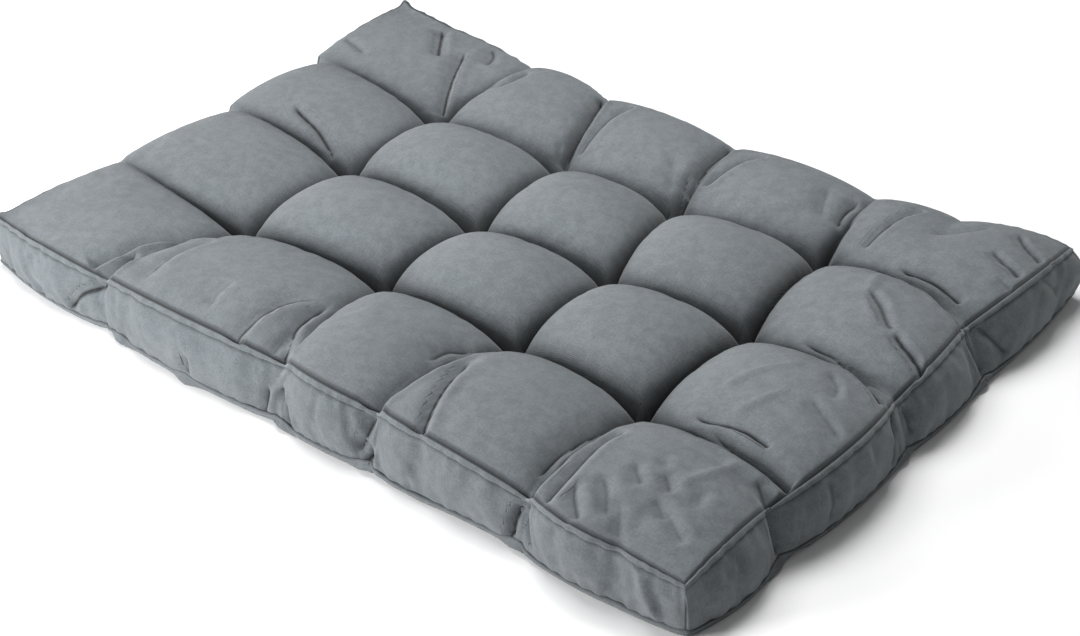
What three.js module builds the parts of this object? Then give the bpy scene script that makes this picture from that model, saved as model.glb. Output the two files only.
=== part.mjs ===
// A filled seat cushion for a 1200 x 800 mm pallet: a top panel, a side strip (the boxing) and a
// bottom panel sewn round a soft filling, drawn in at twelve tufts that part it into 5 x 4 pillows.
// A narrow self-fabric welt stands along the top seam and another along the bottom seam.
// Millimetres, +Z up. X runs along the long side and the front side faces -Y. The cushion lies on
// its back, and the middle of the floor under it is the origin.
import * as THREE from 'three';

// Mesh steps across each pillow, and down the boxing.
const PILLOW_STEPS = 10;
const BOXING_STEPS = 5;

// Heights above the floor of the tuft pits in the top face and in the bottom face.
const TUFT_TOP = 42;
const TUFT_BOTTOM = 24;

// How far a crease between two tufts arches above the straight line between them on the top face,
// and below it on the bottom face. The bottom pillows would swell this far below their creases,
// and the floor flattens them.
const CREASE_RISE = 26;
const CREASE_SAG = 10;
const BOTTOM_SWELL = 30;

// Where the tufts are: a row for each line of tufts across the cushion, from the left end to the
// right, each with its front, middle and back tuft as [x, y].
const tufts = [
  [[-318, -197], [-315, -3], [-317, 176]],
  [[-75, -174], [-66, -6], [-78, 180]],
  [[157, -173], [156, 6], [119, 186]],
  [[363, -180], [367, 19], [341, 209]],
];

// How high each pillow's crown stands: a row for each line of pillows across the cushion, from the
// left end to the right, each from front to back.
const crowns = [
  [96, 102, 100, 86],
  [106, 106, 106, 95],
  [108, 106, 106, 95],
  [108, 107, 107, 95],
  [104, 108, 106, 99],
];

// The four sides, with a row for each place where a fold pinches the seams, corners included:
//   along     place of the pinch along the side
//   out       how far the top seam is from the cushion's middle line there
//   bow       how far the top seam bows out between this pinch and the next
//   top       height of the top seam at the pinch
//   rise      how far the top seam rises between this pinch and the next
//   flare     how far the bottom seam stands outside the top seam at the pinch
//   flareBow  what is added to the flare between this pinch and the next
//   low       height of the bottom seam at the pinch
// ends says where the creases between the pillows reach the side, corners included.
const sides = {
  front: {
    place: (along, out) => [along, -out],
    ends: [-600, -350, -20, 160, 378, 601],
    rows: [
      { along: -600, out: 396, bow: 10, top: 78, rise: 8, flare: 8, flareBow: 6, low: 17 },
      { along: -350, out: 404, bow: 14, top: 80, rise: 12, flare: 18, flareBow: -5, low: 22 },
      { along: -20, out: 390, bow: 14, top: 84, rise: 12, flare: 31, flareBow: -9, low: 22 },
      { along: 143, out: 392, bow: 3, top: 88, rise: 6, flare: 24, flareBow: -3, low: 23 },
      { along: 216, out: 396, bow: 3, top: 90, rise: 5, flare: 20, flareBow: -6, low: 20 },
      { along: 378, out: 393, bow: 12, top: 77, rise: 8, flare: 20, flareBow: -8, low: 20 },
      { along: 512, out: 402, bow: 2, top: 83, rise: 2, flare: 10, flareBow: 0, low: 17 },
      { along: 601, out: 400, bow: 0, top: 78, rise: 0, flare: 4, flareBow: 0, low: 16 },
    ],
  },
  right: {
    place: (along, out) => [out, along],
    ends: [-400, -250, -5, 172, 402],
    rows: [
      { along: -400, out: 601, bow: 2, top: 78, rise: 8, flare: 4, flareBow: 4, low: 16 },
      { along: -250, out: 592, bow: 22, top: 76, rise: 16, flare: 18, flareBow: -14, low: 20 },
      { along: -5, out: 596, bow: 10, top: 76, rise: 14, flare: 16, flareBow: -6, low: 20 },
      { along: 172, out: 580, bow: 14, top: 77, rise: 16, flare: 30, flareBow: -10, low: 20 },
      { along: 402, out: 600, bow: 0, top: 78, rise: 0, flare: 6, flareBow: 0, low: 17 },
    ],
  },
  back: {
    place: (along, out) => [along, out],
    ends: [-600, -292, -120, 100, 330, 600],
    rows: [
      { along: -600, out: 402, bow: -6, top: 78, rise: 6, flare: 4, flareBow: 4, low: 17 },
      { along: -480, out: 387, bow: 2, top: 77, rise: 4, flare: 14, flareBow: 0, low: 19 },
      { along: -292, out: 374, bow: 6, top: 63, rise: 10, flare: 16, flareBow: 0, low: 21 },
      { along: -120, out: 360, bow: 8, top: 66, rise: 10, flare: 18, flareBow: -4, low: 21 },
      { along: 100, out: 358, bow: 8, top: 66, rise: 10, flare: 18, flareBow: -4, low: 21 },
      { along: 330, out: 362, bow: 3, top: 68, rise: 6, flare: 18, flareBow: -4, low: 21 },
      { along: 450, out: 376, bow: 6, top: 74, rise: 8, flare: 14, flareBow: -2, low: 19 },
      { along: 600, out: 402, bow: 0, top: 78, rise: 0, flare: 6, flareBow: 0, low: 17 },
    ],
  },
  left: {
    place: (along, out) => [-out, along],
    ends: [-396, -194, 6, 188, 402],
    rows: [
      { along: -396, out: 600, bow: -2, top: 78, rise: 8, flare: 8, flareBow: 2, low: 17 },
      { along: -194, out: 580, bow: 0, top: 70, rise: 10, flare: 16, flareBow: -2, low: 20 },
      { along: 6, out: 574, bow: 4, top: 68, rise: 10, flare: 18, flareBow: -4, low: 20 },
      { along: 188, out: 576, bow: -4, top: 68, rise: 8, flare: 16, flareBow: -2, low: 20 },
      { along: 402, out: 600, bow: 0, top: 78, rise: 0, flare: 4, flareBow: 0, low: 17 },
    ],
  },
};

// How far the boxing swells past the line between its seams, at a pinch and half-way to the next,
// and the distance between pinches that lets it swell so far.
const BOXING_SWELL = { pinched: 4, free: 13, fullAfter: 160 };

// Over this share of a pillow, the side's outward direction turns towards the corner's diagonal.
const CORNER_TURN = 0.15;

// Folds of the top panel besides the creases, as soft troughs: where each starts and ends, how
// deep it is and how wide.
const folds = [
  { from: [157, -173], to: [216, -400], depth: 15, width: 15 },
  { from: [-350, -300], to: [-392, -412], depth: 8, width: 12 },
  { from: [-75, -174], to: [-98, -408], depth: 5, width: 12 },
  { from: [-317, 176], to: [-418, 352], depth: 14, width: 14 },
  { from: [-486, 386], to: [-455, 300], depth: 12, width: 12 },
  { from: [-78, 180], to: [-62, 368], depth: 12, width: 14 },
  { from: [119, 186], to: [158, 368], depth: 10, width: 14 },
  { from: [341, 209], to: [408, 372], depth: 13, width: 14 },
];

// The welts: how far they reach from the seam on to the boxing and past it over the panel, how far
// they stand up, how much narrower they are on top, and the gap left under them.
const WELT = { width: 4.4, overhang: 0.8, height: 3.5, bevel: 0.9, gap: 1 };

const FABRIC = { color: 0x7d868c, roughness: 0.92, metalness: 0 };

const CELLS_X = crowns.length;
const CELLS_Y = crowns[0].length;

const mix = (p, q, t) => p.map((value, k) => value * (1 - t) + q[k] * t);
const sum = (...vectors) => vectors[0].map((_, k) => vectors.reduce((total, v) => total + v[k], 0));
const times = (v, factor) => v.map((value) => value * factor);
const unit = (v) => times(v, 1 / Math.hypot(...v));
const minus = (p, q) => p.map((value, k) => value - q[k]);
const cross = (a, b) => [
  a[1] * b[2] - a[2] * b[1],
  a[2] * b[0] - a[0] * b[2],
  a[0] * b[1] - a[1] * b[0],
];

// An arc that is 0 at both ends of a stretch and 1 half-way, steep where it leaves the ends.
const arch = (t, power) => (4 * t * (1 - t)) ** power;

// Both seams of a side at one place along it.
function seams(side, along) {
  const last = side.rows.length - 2;
  const next = side.rows.findIndex((row) => row.along > along);
  const k = next < 0 ? last : Math.max(0, next - 1);
  const [here, there] = [side.rows[k], side.rows[k + 1]];
  const t = (along - here.along) / (there.along - here.along);
  const between = (name) => here[name] * (1 - t) + there[name] * t;
  const swing = arch(t, 0.9);
  const reach = Math.min(1, (there.along - here.along) / BOXING_SWELL.fullAfter);
  return {
    top: [...side.place(along, between('out') + here.bow * swing), between('top') + here.rise * swing],
    flare: between('flare') + here.flareBow * swing,
    low: between('low') - 3 * swing,
    swell: BOXING_SWELL.pinched + (BOXING_SWELL.free - BOXING_SWELL.pinched) * swing * reach,
  };
}

// Both seams at a point of the rim, which is given by its cell lines u (0 to 5) and v (0 to 4).
function rim(u, v) {
  const acrossFront = v === 0 || v === CELLS_Y;
  const side = v === 0 ? sides.front : v === CELLS_Y ? sides.back : u === 0 ? sides.left : sides.right;
  const line = acrossFront ? u : v;
  const k = Math.min(side.ends.length - 2, Math.floor(line));
  const along = side.ends[k] + (side.ends[k + 1] - side.ends[k]) * (line - k);
  const both = seams(side, along);
  const turn = (distance) => Math.max(0, 1 - distance / CORNER_TURN) ** 2;
  const outward = [turn(CELLS_X - u) - turn(u), turn(CELLS_Y - v) - turn(v), 0];
  const low = sum(both.top, times(outward, both.flare));
  low[2] = both.low;
  return { top: both.top, low, outward, swell: both.swell };
}

// A line of the panel's net: the seam where the line runs on the rim, else the crease between two
// corners of the net, which arches up on the top face and sags on the bottom face.
function netCorner(i, j, face) {
  if (i === 0 || j === 0 || i === CELLS_X || j === CELLS_Y) {
    return rim(i, j)[face];
  }
  return [...tufts[i - 1][j - 1], face === 'top' ? TUFT_TOP : TUFT_BOTTOM];
}

function netLine(from, to, t, face) {
  const onRim = (from[0] === to[0] && (from[0] === 0 || from[0] === CELLS_X))
    || (from[1] === to[1] && (from[1] === 0 || from[1] === CELLS_Y));
  if (onRim) {
    return rim(...mix(from, to, t))[face];
  }
  const point = mix(netCorner(...from, face), netCorner(...to, face), t);
  point[2] += (face === 'top' ? CREASE_RISE : -CREASE_SAG) * arch(t, 0.6);
  return point;
}

// How full a pillow is across its width: 0 at its creases and seams, 1 in the middle. It falls off
// steeply to a crease, more gently to the top seam, and steepest to the bottom seam, which the
// bottom panel bulges under.
function fullness(t, seamBefore, seamAfter, face) {
  const across = 2 * t - 1;
  const bySeam = across < 0 ? seamBefore : seamAfter;
  const seamPower = face === 'top' ? 0.85 : 0.4;
  return (1 - Math.abs(across) ** 2.2) ** (bySeam ? seamPower : 0.5);
}

function foldDepth(x, y) {
  let depth = 0;
  for (const fold of folds) {
    const run = minus(fold.to, fold.from);
    const lengthSquared = run[0] ** 2 + run[1] ** 2;
    const offset = [x - fold.from[0], y - fold.from[1]];
    const t = Math.min(1, Math.max(0, (offset[0] * run[0] + offset[1] * run[1]) / lengthSquared));
    const away = Math.hypot(offset[0] - run[0] * t, offset[1] - run[1] * t);
    depth += fold.depth * Math.min(1, 4 * t, 6 * (1 - t)) * Math.exp(-((away / fold.width) ** 2));
  }
  return depth;
}

// One point of a panel: the net's four lines round the cell, blended, with the pillow on top.
function panelPoint(i, j, a, b, face) {
  const corners = [[i, j], [i + 1, j], [i, j + 1], [i + 1, j + 1]];
  const line = (from, to, t) => netLine(corners[from], corners[to], t, face);
  const [p00, p10, p01, p11] = corners.map((corner) => netCorner(...corner, face));
  const lines = sum(mix(line(0, 1, a), line(2, 3, a), b), mix(line(0, 2, b), line(1, 3, b), a));
  const point = minus(lines, mix(mix(p00, p10, a), mix(p01, p11, a), b));
  const full = fullness(a, i === 0, i === CELLS_X - 1, face)
    * fullness(b, j === 0, j === CELLS_Y - 1, face);
  if (face === 'low') {
    point[2] = Math.max(0, point[2] - BOTTOM_SWELL * full);
    return point;
  }
  point[2] += full * (crowns[i][j] - netMiddle(i, j));
  point[2] -= Math.min(1, 2 * full) * foldDepth(point[0], point[1]);
  return point;
}

// The height of the blended net in the middle of a cell of the top panel.
function netMiddle(i, j) {
  const corners = [[i, j], [i + 1, j], [i, j + 1], [i + 1, j + 1]];
  const height = (from, to) => netLine(corners[from], corners[to], 0.5, 'top')[2];
  const lines = height(0, 1) + height(2, 3) + height(0, 2) + height(1, 3);
  return lines / 2 - corners.reduce((total, corner) => total + netCorner(...corner, 'top')[2], 0) / 4;
}

// Mesh steps across a pillow lie closer together towards its creases.
function stepPlace(step) {
  const t = step / PILLOW_STEPS;
  return 0.35 * t + 0.65 * (0.5 - 0.5 * Math.cos(Math.PI * t));
}

function panelGrid(face) {
  const grid = [];
  for (let m = 0; m <= CELLS_X * PILLOW_STEPS; m += 1) {
    const i = Math.min(CELLS_X - 1, Math.floor(m / PILLOW_STEPS));
    const row = [];
    for (let n = 0; n <= CELLS_Y * PILLOW_STEPS; n += 1) {
      const j = Math.min(CELLS_Y - 1, Math.floor(n / PILLOW_STEPS));
      const [a, b] = [stepPlace(m - i * PILLOW_STEPS), stepPlace(n - j * PILLOW_STEPS)];
      row.push(panelPoint(i, j, a, b, face));
    }
    grid.push(row);
  }
  return grid;
}

// The stations round the rim, anticlockwise seen from above, as places [m, n] in a panel's grid.
function rimStations() {
  const [lastM, lastN] = [CELLS_X * PILLOW_STEPS, CELLS_Y * PILLOW_STEPS];
  const stations = [];
  for (let m = 0; m < lastM; m += 1) stations.push([m, 0]);
  for (let n = 0; n < lastN; n += 1) stations.push([lastM, n]);
  for (let m = lastM; m > 0; m -= 1) stations.push([m, lastN]);
  for (let n = lastN; n > 0; n -= 1) stations.push([0, n]);
  return stations;
}

// The place of a station on the cell lines, as rim() takes it.
function cellLine(step, cells) {
  const k = Math.min(cells - 1, Math.floor(step / PILLOW_STEPS));
  return k + stepPlace(step - k * PILLOW_STEPS);
}

// Rings of points down the boxing, the top seam's ring first and the bottom seam's last.
function boxingRings(stations, topGrid, lowGrid) {
  const rings = [];
  for (let k = 0; k <= BOXING_STEPS; k += 1) {
    const down = k / BOXING_STEPS;
    rings.push(stations.map(([m, n]) => {
      const { outward, swell } = rim(cellLine(m, CELLS_X), cellLine(n, CELLS_Y));
      const onLine = mix(topGrid[m][n], lowGrid[m][n], down);
      return sum(onLine, times(outward, swell * Math.sin(Math.PI * down) ** 0.8));
    }));
  }
  return rings;
}

function meshOf(name, points, triangles) {
  const geometry = new THREE.BufferGeometry();
  geometry.setAttribute('position', new THREE.Float32BufferAttribute(points.flat(), 3));
  geometry.setIndex(triangles.flat());
  geometry.computeVertexNormals();
  const mesh = new THREE.Mesh(geometry, new THREE.MeshStandardMaterial(FABRIC));
  mesh.name = name;
  return mesh;
}

// Two triangles for the four-sided face a, b, c, d.
const quad = (a, b, c, d) => [[a, b, c], [a, c, d]];

function cushionMesh(stations, topGrid, lowGrid, rings) {
  const columns = topGrid[0].length;
  const points = [...topGrid.flat(), ...lowGrid.flat(), ...rings.slice(1, -1).flat()];
  const lowStart = topGrid.flat().length;
  const ringStart = 2 * lowStart;
  const triangles = [];
  for (let m = 0; m + 1 < topGrid.length; m += 1) {
    for (let n = 0; n + 1 < columns; n += 1) {
      const [here, there] = [m * columns + n, (m + 1) * columns + n];
      const face = [here, there, there + 1, here + 1];
      triangles.push(...quad(...face));
      triangles.push(...quad(...face.map((corner) => corner + lowStart).reverse()));
    }
  }
  const ringPoint = (k, s) => {
    const [m, n] = stations[s % stations.length];
    if (k === 0) return m * columns + n;
    if (k === BOXING_STEPS) return lowStart + m * columns + n;
    return ringStart + (k - 1) * stations.length + (s % stations.length);
  };
  for (let k = 0; k < BOXING_STEPS; k += 1) {
    for (let s = 0; s < stations.length; s += 1) {
      const [below, beside] = [ringPoint(k + 1, s), ringPoint(k, s + 1)];
      triangles.push(...quad(ringPoint(k, s), below, ringPoint(k + 1, s + 1), beside));
    }
  }
  return meshOf('cushion', points, triangles);
}

// A welt is a strip that lies on the boxing along a seam, which is one ring of the boxing, and
// reaches towards the ring beyond it. turn is 1 for the seam above its strip and -1 for the one
// below.
function weltMesh(name, seam, beyond, turn) {
  const count = seam.length;
  const sections = seam.map((point, s) => {
    const ahead = unit(minus(seam[(s + 1) % count], seam[(s + count - 1) % count]));
    const across = unit(minus(beyond[s], point));
    const proud = times(unit(cross(across, ahead)), turn);
    const at = (width, height) => sum(point, times(across, width), times(proud, height));
    const section = [
      at(-WELT.overhang, WELT.gap),
      at(WELT.width, WELT.gap),
      at(WELT.width - WELT.bevel, WELT.height),
      at(WELT.bevel - WELT.overhang, WELT.height),
    ];
    return turn > 0 ? section : section.reverse();
  });
  const corners = sections[0].length;
  const triangles = [];
  for (let s = 0; s < count; s += 1) {
    const [here, there] = [s * corners, ((s + 1) % count) * corners];
    for (let k = 0; k < corners; k += 1) {
      const next = (k + 1) % corners;
      triangles.push(...quad(here + k, there + k, there + next, here + next));
    }
  }
  return meshOf(name, sections.flat(), triangles);
}

const stations = rimStations();
const topGrid = panelGrid('top');
const lowGrid = panelGrid('low');
const rings = boxingRings(stations, topGrid, lowGrid);

const meshes = [
  cushionMesh(stations, topGrid, lowGrid, rings),
  weltMesh('welt_top', rings[0], rings[1], 1),
  weltMesh('welt_bottom', rings[BOXING_STEPS], rings[BOXING_STEPS - 1], -1),
];

// The whole is moved so that the origin is under the middle of its box.
const whole = new THREE.Box3();
for (const mesh of meshes) {
  mesh.geometry.computeBoundingBox();
  whole.union(mesh.geometry.boundingBox);
}
const middle = whole.getCenter(new THREE.Vector3());

const group = new THREE.Group();
for (const mesh of meshes) {
  mesh.geometry.translate(-middle.x, -middle.y, 0);
  group.add(mesh);
}

export default group;
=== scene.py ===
import math

import bpy
import numpy as np
from mathutils import Matrix, Vector


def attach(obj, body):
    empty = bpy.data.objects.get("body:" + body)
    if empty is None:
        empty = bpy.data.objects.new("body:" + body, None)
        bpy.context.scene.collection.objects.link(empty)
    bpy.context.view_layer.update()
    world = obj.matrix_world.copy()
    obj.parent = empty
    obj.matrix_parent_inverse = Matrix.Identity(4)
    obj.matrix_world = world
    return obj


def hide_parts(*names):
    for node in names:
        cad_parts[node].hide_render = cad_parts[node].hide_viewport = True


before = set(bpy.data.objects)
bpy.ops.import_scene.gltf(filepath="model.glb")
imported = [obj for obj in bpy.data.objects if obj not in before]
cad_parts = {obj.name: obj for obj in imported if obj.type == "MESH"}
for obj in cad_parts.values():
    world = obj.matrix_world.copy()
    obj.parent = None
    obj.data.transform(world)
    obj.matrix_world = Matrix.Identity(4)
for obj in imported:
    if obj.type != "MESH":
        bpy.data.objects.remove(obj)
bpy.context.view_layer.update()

# The cushion is one bag of plain-woven cotton: a top and a bottom panel joined by a boxing strip,
# filled with loose fibre and drawn down by thread at twelve tufts, in four columns of three. The
# sizes are in millimetres, in the source solid's own frame, and MIDDLE is the middle of the
# finished solid's box in it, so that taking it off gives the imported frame.
MIDDLE = np.array([9.42779541, -10.56259155, 0.0])
TUFTS = np.array([
    [[-318, -197], [-315, -3], [-317, 176]],
    [[-75, -174], [-66, -6], [-78, 180]],
    [[157, -173], [156, 6], [119, 186]],
    [[363, -180], [367, 19], [341, 209]]], float)
CROWNS = np.array([
    [96, 102, 100, 86], [106, 106, 106, 95], [108, 106, 106, 95],
    [108, 107, 107, 95], [104, 108, 106, 99]], float)
TUFT_HEIGHT = {"top": 42, "low": 16}
PILLOW_LENGTH, PILLOW_WIDTH = 235, 195
GROOVE_DEPTH, GROOVE_WIDTH = 12, 4.5
PIT_DEPTH, PIT_WIDTH, PIT_LENGTH = 14, 5, 42
SEAM_GROOVE_DEPTH, SEAM_GROOVE_PLACE, SEAM_GROOVE_WIDTH = 3.2, 1.5, 1.2
UNDER_SEAM_BULGE, UNDER_SEAM_WIDTH, UNDER_SEAM_SCALE = 3, 6, 2.7
GROOVE_FADE = 60
LEAST_THICKNESS = 3
PANEL_EVENNESS, WALL_EVENNESS = 0.35, 0.45
EAR_RISE, EAR_REACH, EAR_LENGTH = 5, 4, 0.05
CREASE_RISE = {"top": 26, "low": -10}
CREASE_FULLNESS = 0.5
RIM_FULLNESS = {"top": [1.1, 0.85, 0.85, 1.05], "low": [0.4, 0.4, 0.4, 0.4]}
LOW_SWELL = 30
LOW_SEAM_DIP = 2
CORNER_TURN = 0.15
WALL_HEIGHT = 70
WALL_SWELL = 4
WALL_FREE_SWELL = 9
WALL_FREE_LENGTH = 160

# Where each side's two seams run. The first list is where the pillows' creases meet the side, and
# at most of them the seam laps: it starts again a little higher and further out.
SEAM_COLUMNS = "along out bow height rise flare flare_bow low".split()
SIDES = {
    "front": ([-600, -350, -20, 143, 378, 601], [
        (-600, 396, 10, 78, 8, 6, 2, 8), (-358, 401, 0, 74, 0, 12, 0, 9),
        (-344, 405, 13, 84, 10, 13, -5, 10), (-28, 387, 0, 78, 0, 26, 0, 10),
        (-14, 392, 13, 88, 10, 24, -8, 10), (135, 389, 0, 82, 0, 20, 0, 12),
        (149, 394, 3, 91, 2, 19, -3, 11), (216, 396, 3, 90, 5, 16, -6, 9),
        (370, 390, 0, 73, 0, 14, 0, 10), (384, 395, 12, 82, 7, 14, -8, 9),
        (512, 402, 2, 83, 2, 6, 0, 8), (601, 400, 0, 78, 0, -4, 0, 8)]),
    "right": ([-400, -217, -5, 172, 402], [
        (-400, 601, 2, 78, 8, -4, 10, 8), (-256, 594, 0, 79, 0, 16, 0, 9),
        (-244, 591, 21, 74, 16, 16, -10, 9), (-11, 597, 0, 79, 0, 18, 0, 9),
        (1, 594, 10, 74, 14, 18, -4, 9), (166, 581, 0, 80, 0, 30, 0, 9),
        (178, 579, 14, 75, 16, 30, -8, 9), (402, 592, 0, 78, 0, 8, 0, 9)]),
    "back": ([-600, -292, -137, 100, 330, 592], [
        (-600, 402, -6, 78, 6, 2, 6, 9), (-480, 387, 2, 77, 4, 14, 0, 9),
        (-298, 374, 0, 64, 0, 16, 0, 10), (-286, 376, 6, 68, 9, 16, -2, 10),
        (-143, 361, 0, 66, 0, 18, 0, 10), (-131, 363, 6, 70, 9, 18, -4, 10),
        (94, 359, 0, 66, 0, 18, 0, 10), (106, 361, 6, 70, 9, 18, -4, 10),
        (324, 362, 0, 68, 0, 18, 0, 10), (336, 364, 3, 71, 6, 18, -4, 9),
        (450, 376, 6, 75, 8, 14, -2, 9), (592, 402, 0, 78, 0, 8, 0, 9)]),
    "left": ([-396, -194, 6, 188, 402], [
        (-396, 600, -2, 78, 8, 6, 2, 8), (-200, 580, 0, 77, 0, 14, 0, 9),
        (-188, 582, 2, 79, 7, 14, -2, 9), (0, 573, 0, 70, 0, 18, 0, 10),
        (12, 579, 2, 76, 10, 14, -4, 9), (182, 574, 0, 70, 0, 18, 0, 10),
        (194, 582, -2, 79, 9, 12, -2, 9), (402, 600, 0, 78, 0, 2, 0, 9)])}

# The filling pushes out below the bottom seam in a few short pockets, and out at the corners.
POCKETS = {"front": [-321, -187, -18, 128, 363], "right": [-250, -5, 172],
           "back": [-292, 100, 330], "left": [-194, 188]}
POCKET_BULGE, POCKET_RISE, POCKET_LENGTH = 9, 4, 18
CORNER_SWELL = {"front left": 1, "front right": 2, "back right": 10, "back left": 3}

# A few creases bow sideways between their ends. The rest run straight. Each is told by its line
# of the net, row or column, and its place along it.
BOWED_ROWS = {(1, 0): -12, (3, 4): 14}
BOWED_COLUMNS = {(3, 0): -12}


def arch(t, power):
    """The curve (4 t (1 - t)) to a power: nothing at both ends of a span and 1 in its middle."""
    return (4 * t * (1 - t)).clip(0) ** power


def pockets(side, along):
    """How nearly each place along a side lies at one of its pockets: exp(-(gap / length) ^ 2)."""
    away = (along[..., None] - np.array(POCKETS[side], float)) / POCKET_LENGTH
    return np.exp(-away ** 2).sum(-1)


def seams_of(side, along):
    """Top seam points, flare, height of the bottom seam and swell of the wall along one side: each
    runs straight from row to row of the table, and out, height and flare bow between rows."""
    rows = np.array(SIDES[side][1], float)
    k = np.searchsorted(rows[:, 0], along, side="right").clip(1, len(rows) - 1) - 1
    here, there = rows[k].T, rows[k + 1].T
    t = (along - here[0]) / (there[0] - here[0])
    at = dict(zip(SEAM_COLUMNS, here * (1 - t) + there * t))
    row = dict(zip(SEAM_COLUMNS, here))
    swing = arch(t, 0.9)
    out = at["out"] + row["bow"] * swing
    place = {"front": (along, -out), "back": (along, out),
             "left": (-out, along), "right": (out, along)}[side]
    free = np.minimum(1, (there[0] - here[0]) / WALL_FREE_LENGTH)
    return (np.stack([*place, at["height"] + row["rise"] * swing], -1),
            at["flare"] + row["flare_bow"] * swing,
            at["low"] - LOW_SEAM_DIP * swing + POCKET_RISE * pockets(side, along),
            WALL_SWELL + WALL_FREE_SWELL * swing * free)


def rim(u, v):
    """Both seams at points of the rim, where u counts pillows from the left and v from the front.
    The bottom seam lies below the top one and a flare further out, turned across each corner."""
    u, v = np.broadcast_arrays(np.asarray(u, float), np.asarray(v, float))
    top = np.zeros(u.shape + (3,))
    flare, low, swell = np.zeros(u.shape), np.zeros(u.shape), np.zeros(u.shape)
    for side, on, line in (("left", u == 0, v), ("right", u == 5, v),
                           ("back", v == 4, u), ("front", v == 0, u)):
        ends = SIDES[side][0]
        if on.any():
            along = np.interp(line[on], np.arange(len(ends)), ends)
            top[on], flare[on], low[on], swell[on] = seams_of(side, along)

    def turned(cells):
        """How far the rim has turned outward: (1 - cells / CORNER_TURN) ^ 2 near a corner."""
        return np.maximum(0, 1 - cells / CORNER_TURN) ** 2

    outward = np.stack([turned(5 - u) - turned(u), turned(4 - v) - turned(v), 0 * u], -1)
    bottom = top + outward * flare[..., None]
    bottom[..., 2] = low
    near_corner = np.maximum(np.minimum(u, 5 - u), np.minimum(v, 4 - v))
    ear = (np.exp(-(near_corner / EAR_LENGTH) ** 2) * (u < 1))[..., None]
    first, last = (np.where(v < 2, CORNER_SWELL["front " + end], CORNER_SWELL["back " + end])
                   for end in ("left", "right"))
    at_corner = np.exp(-(near_corner / CORNER_TURN) ** 2)
    swell = swell + (np.where(u < 2.5, first, last) - WALL_SWELL) * at_corner
    top += ear * (outward * EAR_REACH + [0, 0, EAR_RISE])
    return {"top": top, "low": bottom}, outward, swell


def crease_middle(face, net, i, j, across):
    """Height halfway along one line of the net of tufts: half its ends' heights and the crease's
    rise, or the seam's own height on the rim."""
    if (j in (0, 5)) if across else (j in (0, 4)):
        point = (float(j), i + 0.5) if across else (i + 0.5, float(j))
        return rim(*point)[0][face][..., 2]
    ends = (net[j, i], net[j, i + 1]) if across else (net[i, j], net[i + 1, j])
    return (ends[0][2] + ends[1][2]) / 2 + CREASE_RISE[face]


def crease_grooves(u, v):
    """Depth of the grooves between the pillows: exp(-distance / width) from each crease, and both
    deeper and wider within a few centimetres of a tuft."""
    inside_u, inside_v = (u > 0.5) & (u < 4.5), (v > 0.5) & (v < 3.5)
    from_column = np.where(inside_u, np.abs(u - np.round(u)), 1)[:, None] * PILLOW_LENGTH
    from_row = np.where(inside_v, np.abs(v - np.round(v)), 1)[None] * PILLOW_WIDTH
    depth = 0
    for across, along in ((from_column, from_row), (from_row, from_column)):
        pit = np.exp(-(along / PIT_LENGTH) ** 2)
        groove = np.exp(-across / (GROOVE_WIDTH + PIT_WIDTH * pit))
        depth = np.maximum(depth, (GROOVE_DEPTH + PIT_DEPTH * pit) * groove)
    return depth


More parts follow.
